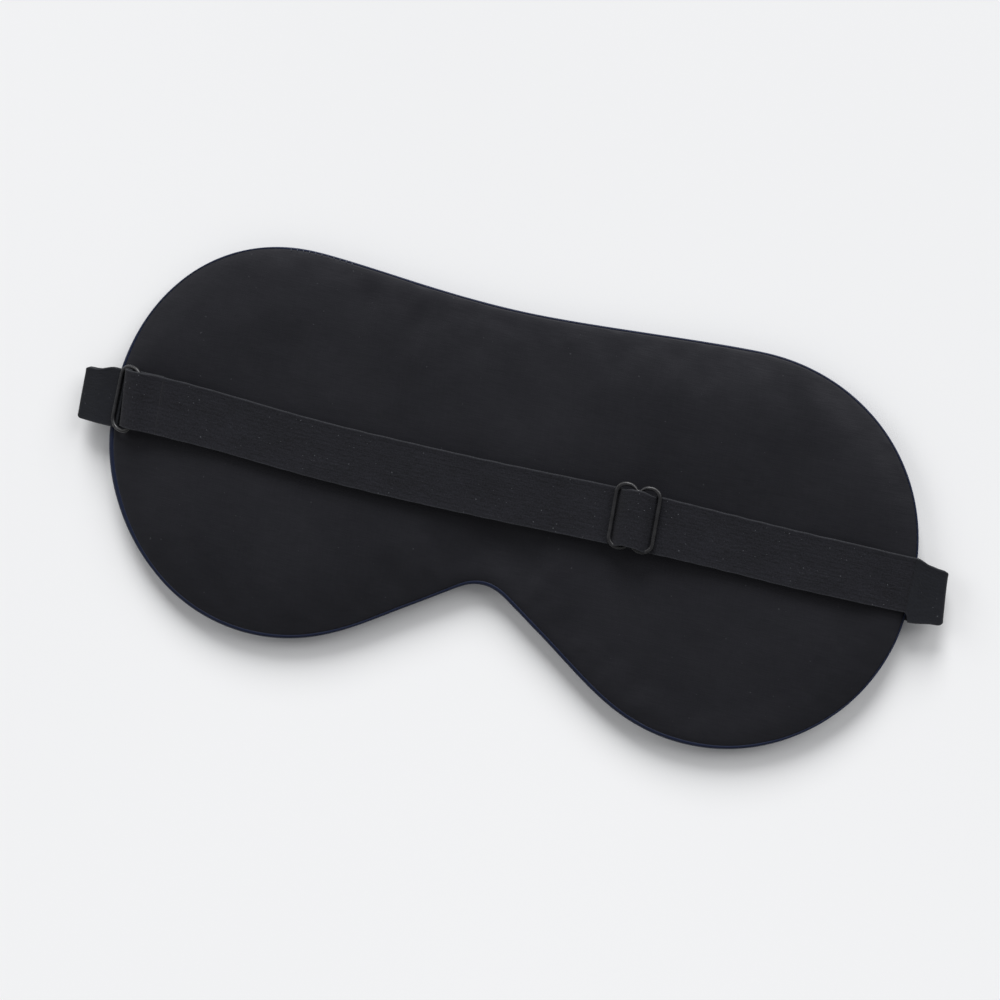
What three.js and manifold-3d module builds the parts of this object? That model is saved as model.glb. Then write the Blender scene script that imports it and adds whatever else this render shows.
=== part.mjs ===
// A padded sleep eye mask lying on its front, with the back panel and the head strap on top.
//
// Units are millimetres. X runs along the mask's width, Y towards its forehead edge and Z up out
// of the back panel. The origin is under the middle of the mask, on the surface that it lies on.

import * as THREE from "three";
import { mergeVertices } from "three/addons/utils/BufferGeometryUtils.js";
import Module from "manifold-3d";

const wasm = await Module();
wasm.setup();

// Padded body
const HALF_WIDTH = 108;
const HALF_HEIGHT = 51.6;
const LOWER_LOBE_RADIUS = 49;
const UPPER_LOBE_RADIUS = 48;
const TOP_DIP = 3.4;
const NOTCH_TIP_Y = -23.2;
const BACK_HEIGHT = 8.2;
const BACK_EDGE_WIDTH = 15;
const FRONT_EDGE_WIDTH = 16;
const FRONT_RIM_Z = 4.3;
const BACK_RIM_Z = 4.7;
const PANEL_THICKNESS = 0.7;
const LINING_THICKNESS = 0.4;
const LAYER_GAP = 0.3;

// Elastic
const STRAP_Y = 3.7;
const STRAP_WIDTH = 14.8;
const PASS_WIDTH = 14.2;
const ELASTIC_THICKNESS = 0.8;
const ELASTIC_GAP = 0.15;
const FOLD_X = 117.8;
const FOLD_RADIUS = 0.65;
const TAIL_END_X = 105.4;
const PIECE_GAP = 0.3;

// Wire hardware
const WIRE_RADIUS = 0.55;
const HARDWARE_LENGTH = 17.8;
const HOLE_LENGTH = 15.6;
const FRAME_CORNER = 2.5;
const HOLE_CORNER = 1.2;
const SLIDER_BAR_SPACING = 5.7;
const SLIDER_X = 36.5;
const SLIDER_Y = 4.1;
const SLIDER_TURN = THREE.MathUtils.degToRad(1.5);
const RING_BAR_SPACING = 6.6;
const RING_X = -104.5;
const RING_TILT = THREE.MathUtils.degToRad(20);
const OUTER_BAR_CLEARANCE = 0.25;
const LOOP_HOLE_RADIUS = 0.9;

// Places along the strap where one stretch of it ends and the next begins
const RIGHT_FOLD_END_X = 108.5;
const LIFT_LEFT_X = -40;
const RING_LOOP_END_X = -94.5;
const PASS_HALF_LENGTH = 9;
const END_LOOP_TAIL = 5.6;

const HALF_ELASTIC = ELASTIC_THICKNESS / 2;
const SEAM_Z = (FRONT_RIM_Z + BACK_RIM_Z) / 2;
const TAIL_Z = SEAM_Z + 0.15;
const FOLDED_Z = TAIL_Z + 2 * FOLD_RADIUS;
const UNDER_Z = BACK_HEIGHT + LAYER_GAP + HALF_ELASTIC;
const UPPER_Z = UNDER_Z + ELASTIC_THICKNESS + ELASTIC_GAP;
const OUTER_BAR_REACH = WIRE_RADIUS + OUTER_BAR_CLEARANCE + ELASTIC_GAP + HALF_ELASTIC;
const SLIDER_Z = UPPER_Z + OUTER_BAR_REACH;
const LOOP_RADIUS = LOOP_HOLE_RADIUS + ELASTIC_THICKNESS;
const PASS_RADIUS = LOOP_RADIUS + ELASTIC_GAP + HALF_ELASTIC;
const RING_LOW_BAR_X = RING_X - (RING_BAR_SPACING / 2) * Math.cos(RING_TILT);
const RING_HIGH_BAR_X = RING_X + (RING_BAR_SPACING / 2) * Math.cos(RING_TILT);
const RING_LOW_BAR_Z = 7.65;
const RING_Z = RING_LOW_BAR_Z + (RING_BAR_SPACING / 2) * Math.sin(RING_TILT);
const RING_HIGH_BAR_Z = 2 * RING_Z - RING_LOW_BAR_Z;

const NAVY_SATIN = { color: 0x1d2436, roughness: 0.42, metalness: 0 };
const BLACK_SATIN = { color: 0x202126, roughness: 0.45, metalness: 0 };
const FOAM = { color: 0xc9c7c0, roughness: 0.95, metalness: 0 };
const LINING = { color: 0x141416, roughness: 0.9, metalness: 0 };
const ELASTIC = { color: 0x1b1c20, roughness: 0.85, metalness: 0 };
const THREAD = { color: 0x17181d, roughness: 0.7, metalness: 0 };
const COATED_METAL = { color: 0x131315, roughness: 0.35, metalness: 0.3 };

const model = new THREE.Group();

function add(name, geometry, finish, parent = model) {
  const mesh = new THREE.Mesh(geometry, new THREE.MeshStandardMaterial(finish));
  mesh.name = name;
  parent.add(mesh);
  return mesh;
}

// ---------- outline of the padded body ----------

// The right half of the outline, from the tip of the nose notch round to the top of the centre line.
function halfOutline() {
  const half = new THREE.Path();
  const lobeX = HALF_WIDTH - LOWER_LOBE_RADIUS;
  const lobeY = LOWER_LOBE_RADIUS - HALF_HEIGHT;
  const browX = HALF_WIDTH - UPPER_LOBE_RADIUS;
  const browY = HALF_HEIGHT - UPPER_LOBE_RADIUS;
  const dipY = HALF_HEIGHT - TOP_DIP;
  half.moveTo(0, NOTCH_TIP_Y);
  half.quadraticCurveTo(3.2, NOTCH_TIP_Y, 6.5, NOTCH_TIP_Y - 2.1);
  half.lineTo(20, NOTCH_TIP_Y - 11.3);
  half.bezierCurveTo(32, NOTCH_TIP_Y - 19.7, 42, -HALF_HEIGHT, lobeX, -HALF_HEIGHT);
  half.absarc(lobeX, lobeY, LOWER_LOBE_RADIUS, -Math.PI / 2, 0);
  half.lineTo(HALF_WIDTH, browY);
  half.absarc(browX, browY, UPPER_LOBE_RADIUS, 0, Math.PI / 2);
  half.bezierCurveTo(42, HALF_HEIGHT, 20, dipY, 0, dipY);
  return half;
}

// Steps along each stretch of the half outline: tip, notch side, inner lobe, lobe, side, brow, dip.
const OUTLINE_STEPS = [3, 2, 6, 9, 1, 9, 5];

function fullOutline() {
  const right = [];
  halfOutline().curves.forEach((curve, index) => {
    const points = curve.getPoints(OUTLINE_STEPS[index]);
    right.push(...(index === 0 ? points : points.slice(1)));
  });
  const left = right.slice(1, -1).reverse();
  return [...right, ...left.map((p) => new THREE.Vector2(-p.x, p.y))];
}

function inwardNormals(outline) {
  return outline.map((_, i) => {
    const before = outline[(i + outline.length - 1) % outline.length];
    const after = outline[(i + 1) % outline.length];
    const along = new THREE.Vector2().subVectors(after, before).normalize();
    return new THREE.Vector2(-along.y, along.x);
  });
}

const OUTLINE = fullOutline();
const NORMALS = inwardNormals(OUTLINE);

function insetOutline(distance) {
  return OUTLINE.map((p, i) => p.clone().addScaledVector(NORMALS[i], distance));
}

// Rings of a rounded edge, from its rim at { inset, z } to its plateau at { plateauInset, plateauZ }.
function roundedEdge(inset, z, plateauInset, plateauZ, steps) {
  return Array.from({ length: steps + 1 }, (_, i) => {
    const angle = ((i / steps) * Math.PI) / 2;
    return {
      inset: inset + (plateauInset - inset) * (1 - Math.cos(angle)),
      z: z + (plateauZ - z) * Math.sin(angle),
    };
  });
}

// A closed solid skinned over rings of the outline, from the first ring's cap to the last one's.
// The rings climb, or turn inside out and go back, and firstUp says which way the first cap faces.
function ringSolid(rings, firstUp, lastUp) {
  const count = OUTLINE.length;
  const positions = [];
  const triangles = [];
  rings.forEach(({ inset, z }) => {
    insetOutline(inset).forEach((p) => positions.push(p.x, p.y, z));
  });
  for (let ring = 0; ring < rings.length - 1; ring += 1) {
    for (let i = 0; i < count; i += 1) {
      const a = ring * count + i;
      const b = ring * count + ((i + 1) % count);
      triangles.push(a, b, b + count);
      triangles.push(a, b + count, a + count);
    }
  }
  const cap = (ring, up) => {
    const outline = insetOutline(rings[ring].inset);
    THREE.ShapeUtils.triangulateShape(outline, []).forEach(([a, b, c]) => {
      const corners = up ? [a, b, c] : [a, c, b];
      triangles.push(...corners.map((corner) => ring * count + corner));
    });
  };
  cap(0, firstUp);
  cap(rings.length - 1, lastUp);
  const geometry = new THREE.BufferGeometry();
  geometry.setAttribute("position", new THREE.Float32BufferAttribute(positions, 3));
  geometry.setIndex(triangles);
  return geometry;
}

// ---------- cutting ----------

function toManifold(geometry) {
  const bare = geometry.clone();
  bare.deleteAttribute("normal");
  bare.deleteAttribute("uv");
  const merged = mergeVertices(bare, 1e-4);
  const mesh = new wasm.Mesh({
    numProp: 3,
    vertProperties: new Float32Array(merged.attributes.position.array),
    triVerts: new Uint32Array(merged.index.array),
  });
  return new wasm.Manifold(mesh);
}

function toGeometry(solid) {
  const mesh = solid.getMesh();
  const geometry = new THREE.BufferGeometry();
  geometry.setAttribute("position", new THREE.Float32BufferAttribute(mesh.vertProperties, 3));
  geometry.setIndex(Array.from(mesh.triVerts));
  return geometry;
}

// The slot through both rims where an elastic tail leaves the side seam.
function tailSlot(side) {
  const slot = new THREE.BoxGeometry(8, STRAP_WIDTH + 2 * LAYER_GAP, 1.8);
  slot.translate(side * HALF_WIDTH, STRAP_Y, TAIL_Z + 0.2);
  return toManifold(slot);
}

function withTailSlots(geometry) {
  return toGeometry(toManifold(geometry).subtract(tailSlot(-1)).subtract(tailSlot(1)));
}

// ---------- padded body ----------

function frontPanel() {
  const outside = roundedEdge(0, FRONT_RIM_Z, FRONT_EDGE_WIDTH, 0, 4);
  const inside = roundedEdge(PANEL_THICKNESS, FRONT_RIM_Z, FRONT_EDGE_WIDTH, PANEL_THICKNESS, 4);
  return withTailSlots(ringSolid([...outside.reverse(), ...inside], false, true));
}

function backPanel() {
  const insideTop = BACK_HEIGHT - PANEL_THICKNESS;
  const outside = roundedEdge(0, BACK_RIM_Z, BACK_EDGE_WIDTH, BACK_HEIGHT, 4);
  const inside = roundedEdge(PANEL_THICKNESS, BACK_RIM_Z, BACK_EDGE_WIDTH, insideTop, 4);
  return withTailSlots(ringSolid([...inside.reverse(), ...outside], false, true));
}

function blackoutLining() {
  const rimInset = PANEL_THICKNESS + 3 * LAYER_GAP;
  const rimZ = FRONT_RIM_Z - LINING_THICKNESS;
  const lowZ = PANEL_THICKNESS + LAYER_GAP;
  const outside = roundedEdge(rimInset, rimZ, FRONT_EDGE_WIDTH, lowZ, 3);
  const highZ = lowZ + LINING_THICKNESS;
  const inside = roundedEdge(rimInset + LINING_THICKNESS, rimZ, FRONT_EDGE_WIDTH, highZ, 3);
  return ringSolid([...outside.reverse(), ...inside], false, true);
}

function padding() {
  const lowZ = PANEL_THICKNESS + LINING_THICKNESS + 2 * LAYER_GAP;
  const highZ = BACK_HEIGHT - PANEL_THICKNESS - LAYER_GAP;
  const rimInset = HALF_WIDTH - TAIL_END_X + 2 * LAYER_GAP;
  const lower = roundedEdge(rimInset, SEAM_Z, FRONT_EDGE_WIDTH, lowZ, 3);
  const upper = roundedEdge(rimInset, SEAM_Z, BACK_EDGE_WIDTH, highZ, 3);
  return ringSolid([...lower.reverse(), ...upper.slice(1)], false, true);
}

// ---------- thread ----------

// A thread of square section along the outline, inset from its edge, at the height of the seam.
function seamThread(points, thickness) {
  const path = new THREE.CatmullRomCurve3(points.map((p) => new THREE.Vector3(p.x, p.y, SEAM_Z)));
  const h = thickness / 2;
  const section = new THREE.Shape([
    new THREE.Vector2(-h, -h),
    new THREE.Vector2(h, -h),
    new THREE.Vector2(h, h),
    new THREE.Vector2(-h, h),
  ]);
  const steps = points.length - 1;
  return new THREE.ExtrudeGeometry(section, { steps, extrudePath: path, bevelEnabled: false });
}

const SEAM_INSET = 1.15;
const SEAM_THREAD = 0.3;
const GAP_THREAD_INSET = 0.35;
const GAP_THREAD = 0.22;
const TURNING_GAP_X = [-72, -48];

// The forehead half of the seam runs from one elastic tail to the other over the top edge.
function upperSeamThread() {
  const clearOfTail = (p) => p.y > STRAP_Y + STRAP_WIDTH / 2 + 1;
  return seamThread(insetOutline(SEAM_INSET).filter(clearOfTail), SEAM_THREAD);
}

// The nose half starts at the left tail, so the outline is turned to begin there.
function lowerSeamThread() {
  const ring = insetOutline(SEAM_INSET);
  const start = ring.findIndex((p) => p.x < 0 && p.y < STRAP_Y);
  const turned = [...ring.slice(start), ...ring.slice(0, start)];
  const clearOfTail = (p) => p.y < STRAP_Y - STRAP_WIDTH / 2 - 1;
  return seamThread(turned.filter(clearOfTail), SEAM_THREAD);
}

// The closing stitches over the gap that the cover was turned right side out through.
function turningGapThread() {
  const inGap = (p) => p.y > 0 && p.x > TURNING_GAP_X[0] && p.x < TURNING_GAP_X[1];
  return seamThread(insetOutline(GAP_THREAD_INSET).filter(inGap), GAP_THREAD);
}

// A close row of zigzag stitches across the elastic, as one ribbon of thread in the XY plane.
function stitchRow(length, width, thickness) {
  const stitches = 12;
  const half = thickness;
  const edge = Array.from({ length: stitches + 1 }, (_, i) => {
    const side = i % 2 === 0 ? -1 : 1;
    return new THREE.Vector2((side * width) / 2, (i / stitches - 0.5) * length);
  });
  const there = edge.map((p) => new THREE.Vector2(p.x + half, p.y));
  const back = edge.map((p) => new THREE.Vector2(p.x - half, p.y)).reverse();
  const row = new THREE.Shape([...there, ...back]);
  const geometry = new THREE.ExtrudeGeometry(row, { depth: thickness, bevelEnabled: false });
  geometry.translate(0, STRAP_Y, 0);
  return geometry;
}

// ---------- elastic ----------

// Extrudes a profile drawn in X and Z across the strap's width.
function acrossStrap(shape, width = STRAP_WIDTH, centreY = STRAP_Y) {
  const geometry = new THREE.ExtrudeGeometry(shape, {
    depth: width,
    bevelEnabled: false,
    curveSegments: 6,
  });
  geometry.rotateX(Math.PI / 2);
  geometry.translate(0, centreY + width / 2, 0);
  return geometry;
}

// The outline of a band of elastic that follows a middle line given as X and Z points.
function bandShape(line, thickness = ELASTIC_THICKNESS) {
  const sideways = line.map((p, i) => {
    const before = line[Math.max(i - 1, 0)];
    const after = line[Math.min(i + 1, line.length - 1)];
    const along = new THREE.Vector2().subVectors(after, before).normalize();
    return new THREE.Vector2(-along.y, along.x).multiplyScalar(thickness / 2);
  });
  const one = line.map((p, i) => p.clone().add(sideways[i]));
  const other = line.map((p, i) => p.clone().sub(sideways[i])).reverse();
  return new THREE.Shape([...one, ...other]);
}

function flatBand(fromX, toX, z) {
  return acrossStrap(bandShape([new THREE.Vector2(fromX, z), new THREE.Vector2(toX, z)]));
}

function curvedBand(places, steps) {
  const curve = new THREE.SplineCurve(places.map(([x, z]) => new THREE.Vector2(x, z)));
  return acrossStrap(bandShape(curve.getPoints(steps)));
}

// Points of a circular arc in X and Z.
function arcPoints(x, z, radius, from, to, steps) {
  return Array.from({ length: steps + 1 }, (_, i) => {
    const angle = from + ((to - from) * i) / steps;
    return new THREE.Vector2(x + radius * Math.cos(angle), z + radius * Math.sin(angle));
  });
}

// A profile with a round hole that a bar passes through.
function withBarHole(shape, x, z) {
  const hole = new THREE.Path();
  hole.absarc(x, z, LOOP_HOLE_RADIUS, 0, 2 * Math.PI, true);
  shape.holes.push(hole);
  return shape;
}

// The strap's sewn end: out of the right seam and folded back over the edge of the mask.
function strapSeamEnd() {
  const foldX = FOLD_X - FOLD_RADIUS - HALF_ELASTIC;
  const foldZ = TAIL_Z + FOLD_RADIUS;
  const fold = arcPoints(foldX, foldZ, FOLD_RADIUS, -Math.PI / 2, Math.PI / 2, 6);
  const line = [
    new THREE.Vector2(TAIL_END_X, TAIL_Z),
    ...fold,
    new THREE.Vector2(foldX - 4, FOLDED_Z),
    new THREE.Vector2(RIGHT_FOLD_END_X, FOLDED_Z + 0.55),
  ];
  return acrossStrap(bandShape(line));
}

// Single layer from the right edge of the mask up onto its back and along to the slider.
function strapRightRun() {
  const places = [
    [RIGHT_FOLD_END_X - PIECE_GAP, FOLDED_Z + 0.65],
    [103.6, 8.1],
    [97, 8.8],
    [91, UNDER_Z],
    [SLIDER_X + PASS_HALF_LENGTH + 2 * PIECE_GAP, UNDER_Z],
  ];
  return curvedBand(places, 16);
}

// The stretch held by the slider: under the outer bars and over the sewn loop on the centre bar.
// Drawn about the slider's middle.
function strapSliderPass() {
  const reach = OUTER_BAR_REACH;
  const slope = Math.asin((reach + PASS_RADIUS) / SLIDER_BAR_SPACING);
  const down = -Math.PI / 2;
  const up = Math.PI / 2;
  const line = [
    new THREE.Vector2(-PASS_HALF_LENGTH, UPPER_Z - SLIDER_Z),
    ...arcPoints(-SLIDER_BAR_SPACING, 0, reach, down, down + slope, 3),
    ...arcPoints(0, 0, PASS_RADIUS, up + slope, up - slope, 8),
    ...arcPoints(SLIDER_BAR_SPACING, 0, reach, down - slope, down, 3),
    new THREE.Vector2(PASS_HALF_LENGTH, UNDER_Z - SLIDER_Z),
  ];
  return acrossStrap(bandShape(line), PASS_WIDTH, 0);
}

// The sewn end loop on the slider's centre bar, with its tail lying on the layer that it is sewn to.
// Drawn about the slider's middle.
function strapEndLoop() {
  const layerZ = UNDER_Z - SLIDER_Z;
  const layerTop = layerZ + HALF_ELASTIC;
  const shape = new THREE.Shape();
  shape.moveTo(-END_LOOP_TAIL, layerZ - HALF_ELASTIC);
  shape.lineTo(-2.6, layerZ - HALF_ELASTIC);
  shape.lineTo(-0.6, -LOOP_RADIUS + 0.1);
  shape.absarc(0, 0, LOOP_RADIUS, -1.9, 2.75, false);
  shape.lineTo(-2.3, -0.35);
  shape.lineTo(-3.4, layerTop + 0.7);
  shape.lineTo(-3.9, layerTop);
  shape.lineTo(-END_LOOP_TAIL, layerTop);
  return acrossStrap(withBarHole(shape, 0, 0), PASS_WIDTH, 0);
}

// The strap's turn round the ring's higher bar, with the start of both layers that leave it.
function strapRingLoop() {
  const x = RING_HIGH_BAR_X;
  const z = RING_HIGH_BAR_Z;
  const up = Math.PI / 2;
  const turn = arcPoints(x, z, LOOP_RADIUS, up, 3 * up, 10);
  const shape = new THREE.Shape([
    new THREE.Vector2(RING_LOOP_END_X, UPPER_Z + HALF_ELASTIC),
    new THREE.Vector2(x + 3, z + LOOP_RADIUS - 0.6),
    ...turn,
    new THREE.Vector2(x + 2.4, UNDER_Z - HALF_ELASTIC - 0.1),
    new THREE.Vector2(RING_LOOP_END_X, UNDER_Z - HALF_ELASTIC),
  ]);
  const mouth = new THREE.Path();
  mouth.moveTo(x, z - LOOP_HOLE_RADIUS);
  mouth.absarc(x, z, LOOP_HOLE_RADIUS, -up, up, true);
  mouth.lineTo(x + 2.6, z + 0.4);
  mouth.lineTo(x + 4.6, (UPPER_Z + UNDER_Z) / 2 + 0.1);
  mouth.lineTo(x + 4.6, (UPPER_Z + UNDER_Z) / 2 - 0.1);
  mouth.lineTo(x + 2.2, z - 1.1);
  shape.holes.push(mouth);
  return acrossStrap(shape);
}

// The short elastic tab: out of the left seam, folded back, and sewn in a loop on the ring's low bar.
function leftTab() {
  const foldX = -(FOLD_X - FOLD_RADIUS - HALF_ELASTIC);
  const foldZ = TAIL_Z + FOLD_RADIUS;
  const up = Math.PI / 2;
  const inner = FOLD_RADIUS - HALF_ELASTIC;
  const outer = FOLD_RADIUS + HALF_ELASTIC;
  const barX = RING_LOW_BAR_X;
  const barZ = RING_LOW_BAR_Z;
  const shape = new THREE.Shape([
    new THREE.Vector2(-TAIL_END_X, TAIL_Z - HALF_ELASTIC),
    new THREE.Vector2(-TAIL_END_X, TAIL_Z + HALF_ELASTIC),
    ...arcPoints(foldX, foldZ, inner, -up, -3 * up, 6),
    new THREE.Vector2(barX - 3.4, FOLDED_Z - HALF_ELASTIC),
    ...arcPoints(barX, barZ, LOOP_RADIUS, -1.9, 2.5, 12),
    new THREE.Vector2(barX - 2.5, barZ + 0.1),
    new THREE.Vector2(barX - 3.6, FOLDED_Z + 3 * HALF_ELASTIC),
    new THREE.Vector2(barX - 6.2, FOLDED_Z + 3 * HALF_ELASTIC),
    new THREE.Vector2(barX - 6.4, FOLDED_Z + HALF_ELASTIC),
    ...arcPoints(foldX, foldZ, outer, up, 3 * up, 8),
  ]);
  return acrossStrap(withBarHole(shape, barX, barZ));
}

// ---------- wire hardware ----------

const BEVEL = 0.3;

// Extrudes a flat outline into a round-edged wire frame, centred on the XY plane.
function wireFrame(shape) {
  const depth = 2 * (WIRE_RADIUS - BEVEL);
  const geometry = new THREE.ExtrudeGeometry(shape, {
    depth,
    bevelThickness: BEVEL,
    bevelSize: BEVEL,
    bevelOffset: -BEVEL,
    bevelSegments: 2,
    curveSegments: 3,
  });
  geometry.translate(0, 0, -depth / 2);
  return geometry;
}

// A slot with rounded corners that runs along Y between two bars.
function barHole(centreX, spacing) {
  const halfX = spacing / 2 - WIRE_RADIUS;
  const halfY = HOLE_LENGTH / 2;
  const corner = HOLE_CORNER;
  const hole = new THREE.Path();
  hole.absarc(centreX + halfX - corner, halfY - corner, corner, 0, Math.PI / 2);
  hole.absarc(centreX - halfX + corner, halfY - corner, corner, Math.PI / 2, Math.PI);
  hole.absarc(centreX - halfX + corner, -halfY + corner, corner, Math.PI, 1.5 * Math.PI);
  hole.absarc(centreX + halfX - corner, -halfY + corner, corner, 1.5 * Math.PI, 2 * Math.PI);
  return hole;
}

// Two round-cornered loops side by side, which meet in a shallow notch over the centre bar.
function sliderShape() {
  const halfX = SLIDER_BAR_SPACING + WIRE_RADIUS - FRAME_CORNER;
  const innerX = SLIDER_BAR_SPACING / 2 - (halfX - SLIDER_BAR_SPACING / 2);
  const y = HARDWARE_LENGTH / 2 - FRAME_CORNER;
  const notchHalfWidth = 0.3;
  const meet = Math.acos((notchHalfWidth - innerX) / FRAME_CORNER);
  const shape = new THREE.Shape();
  shape.absarc(innerX, -y, FRAME_CORNER, -meet, -Math.PI / 2);
  shape.absarc(halfX, -y, FRAME_CORNER, -Math.PI / 2, 0);
  shape.absarc(halfX, y, FRAME_CORNER, 0, Math.PI / 2);
  shape.absarc(innerX, y, FRAME_CORNER, Math.PI / 2, meet);
  shape.absarc(-innerX, y, FRAME_CORNER, Math.PI - meet, Math.PI / 2);
  shape.absarc(-halfX, y, FRAME_CORNER, Math.PI / 2, Math.PI);
  shape.absarc(-halfX, -y, FRAME_CORNER, Math.PI, 1.5 * Math.PI);
  shape.absarc(-innerX, -y, FRAME_CORNER, 1.5 * Math.PI, Math.PI + meet);
  const holeX = SLIDER_BAR_SPACING / 2;
  shape.holes.push(barHole(holeX, SLIDER_BAR_SPACING), barHole(-holeX, SLIDER_BAR_SPACING));
  return shape;
}

function ringShape() {
  const x = RING_BAR_SPACING / 2 + WIRE_RADIUS - FRAME_CORNER;
  const y = HARDWARE_LENGTH / 2 - FRAME_CORNER;
  const shape = new THREE.Shape();
  shape.absarc(x, y, FRAME_CORNER, 0, Math.PI / 2);
  shape.absarc(-x, y, FRAME_CORNER, Math.PI / 2, Math.PI);
  shape.absarc(-x, -y, FRAME_CORNER, Math.PI, 1.5 * Math.PI);
  shape.absarc(x, -y, FRAME_CORNER, 1.5 * Math.PI, 2 * Math.PI);
  shape.holes.push(barHole(0, RING_BAR_SPACING));
  return shape;
}

// ---------- assembly ----------

add("front_panel", frontPanel(), NAVY_SATIN);
add("back_panel", backPanel(), BLACK_SATIN);
add("padding", padding(), FOAM);
add("blackout_lining", blackoutLining(), LINING);
add("upper_seam_thread", upperSeamThread(), THREAD);
add("lower_seam_thread", lowerSeamThread(), THREAD);
add("turning_gap_thread", turningGapThread(), THREAD);

const TACK_THICKNESS = 0.22;
const TACK_WIDTH = 0.8;
const TACK_LENGTH = STRAP_WIDTH - 1.2;
[["left_seam_tack", -1], ["right_seam_tack", 1]].forEach(([name, side]) => {
  const tack = add(name, stitchRow(TACK_LENGTH, TACK_WIDTH, TACK_THICKNESS), THREAD);
  const tackX = side * (HALF_WIDTH - 1.3);
  tack.position.set(tackX, 0, TAIL_Z + HALF_ELASTIC + ELASTIC_GAP);
});

add("left_tab", leftTab(), ELASTIC);
const tabStitch = add("left_tab_stitch", stitchRow(TACK_LENGTH, TACK_WIDTH, TACK_THICKNESS), THREAD);
tabStitch.position.set(RING_LOW_BAR_X - 4.9, 0, FOLDED_Z + 3 * HALF_ELASTIC + ELASTIC_GAP);

const ringSeat = new THREE.Group();
ringSeat.position.set(RING_X, STRAP_Y, RING_Z);
ringSeat.rotation.y = -RING_TILT;
model.add(ringSeat);
add("ring", wireFrame(ringShape()), COATED_METAL, ringSeat);

add("strap_ring_loop", strapRingLoop(), ELASTIC);
const LEFT_RUN = [RING_LOOP_END_X + PIECE_GAP, LIFT_LEFT_X - PIECE_GAP];
add("strap_left_run", flatBand(...LEFT_RUN, UPPER_Z), ELASTIC);
add("strap_under_left_run", flatBand(...LEFT_RUN, UNDER_Z), ELASTIC);
const passStart = SLIDER_X - PASS_HALF_LENGTH - 3 * PIECE_GAP;
add("strap_centre_run", flatBand(LIFT_LEFT_X, passStart, UPPER_Z), ELASTIC);
const underEnd = SLIDER_X - END_LOOP_TAIL - 3 * PIECE_GAP;
add("strap_under_centre_run", flatBand(LIFT_LEFT_X, underEnd, UNDER_Z), ELASTIC);
add("strap_right_run", strapRightRun(), ELASTIC);
add("strap_seam_end", strapSeamEnd(), ELASTIC);

const sliderSeat = new THREE.Group();
sliderSeat.position.set(SLIDER_X, SLIDER_Y, SLIDER_Z);
sliderSeat.rotation.z = SLIDER_TURN;
model.add(sliderSeat);
add("slider", wireFrame(sliderShape()), COATED_METAL, sliderSeat);
add("strap_slider_pass", strapSliderPass(), ELASTIC, sliderSeat);
add("strap_end_loop", strapEndLoop(), ELASTIC, sliderSeat);

export default model;
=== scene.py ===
"""A padded satin sleep mask, lying on its front with its elastic strap across the back.

Lengths in this script are millimetres until a mesh is made, in the frame of the CAD model:
X along the mask's width, Y towards the forehead edge, Z out of the back panel.
In the materials, the lights and the camera they are metres.
"""

import math

import bpy
import numpy as np
from mathutils import Matrix, Vector
from mathutils.geometry import delaunay_2d_cdt


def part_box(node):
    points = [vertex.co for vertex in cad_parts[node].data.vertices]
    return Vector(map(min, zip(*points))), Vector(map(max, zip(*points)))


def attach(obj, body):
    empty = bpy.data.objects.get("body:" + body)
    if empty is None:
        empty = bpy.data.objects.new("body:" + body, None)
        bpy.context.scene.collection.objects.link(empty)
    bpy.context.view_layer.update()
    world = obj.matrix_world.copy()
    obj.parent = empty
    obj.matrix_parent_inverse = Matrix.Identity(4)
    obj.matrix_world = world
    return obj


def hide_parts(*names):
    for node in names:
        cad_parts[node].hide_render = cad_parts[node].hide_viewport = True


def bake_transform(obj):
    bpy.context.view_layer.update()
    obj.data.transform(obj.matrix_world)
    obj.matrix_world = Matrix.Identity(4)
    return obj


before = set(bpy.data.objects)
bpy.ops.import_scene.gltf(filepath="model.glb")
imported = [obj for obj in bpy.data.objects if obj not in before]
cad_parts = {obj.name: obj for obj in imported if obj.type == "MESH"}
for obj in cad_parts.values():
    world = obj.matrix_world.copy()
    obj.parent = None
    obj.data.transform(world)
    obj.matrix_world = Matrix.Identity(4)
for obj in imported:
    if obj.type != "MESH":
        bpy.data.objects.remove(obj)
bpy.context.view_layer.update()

SCENE = bpy.context.scene
MM = 0.001


def low(node):
    """The node's lowest corner, in millimetres."""
    return np.array(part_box(node)[0]) / MM


def high(node):
    """The node's highest corner, in millimetres."""
    return np.array(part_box(node)[1]) / MM


def middle(node):
    return (low(node) + high(node)) / 2


# ---------- sizes read from the frame ----------

HALF_WIDTH = high("front_panel")[0]
HALF_HEIGHT = high("front_panel")[1]
BACK_Z = high("back_panel")[2]
STRAP_Y = middle("strap_centre_run")[1]
STRAP_HALF_WIDTH = (high("strap_centre_run") - low("strap_centre_run"))[1] / 2
ELASTIC = (high("strap_centre_run") - low("strap_centre_run"))[2]
UPPER_Z = middle("strap_centre_run")[2]
UNDER_Z = middle("strap_under_centre_run")[2]
SLIDER = middle("slider")
RING = middle("ring")
FOLD_X = high("strap_seam_end")[0]
RING_LOOP_END_X = high("strap_ring_loop")[0]
RIGHT_FOLD_END_X = high("strap_right_run")[0]
LIFT_LEFT_X = low("strap_centre_run")[0]

# ---------- sizes of the look ----------

LOWER_LOBE_RADIUS = 49
UPPER_LOBE_RADIUS = 48
TOP_DIP = 3.4
NOTCH_TIP_Y = -23.2
SEAM_Z = 5.0
EDGE_WIDTH = 15.0
GRID_MARGIN = 2.2
COVER_THICKNESS = 0.45
FOAM_INSET = 3.4
LINING_INSET = 1.9
WIRE = 0.54
FOLD_RADIUS = 0.65
TIP_RADIUS = 0.9


# ---------- meshes ----------


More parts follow.
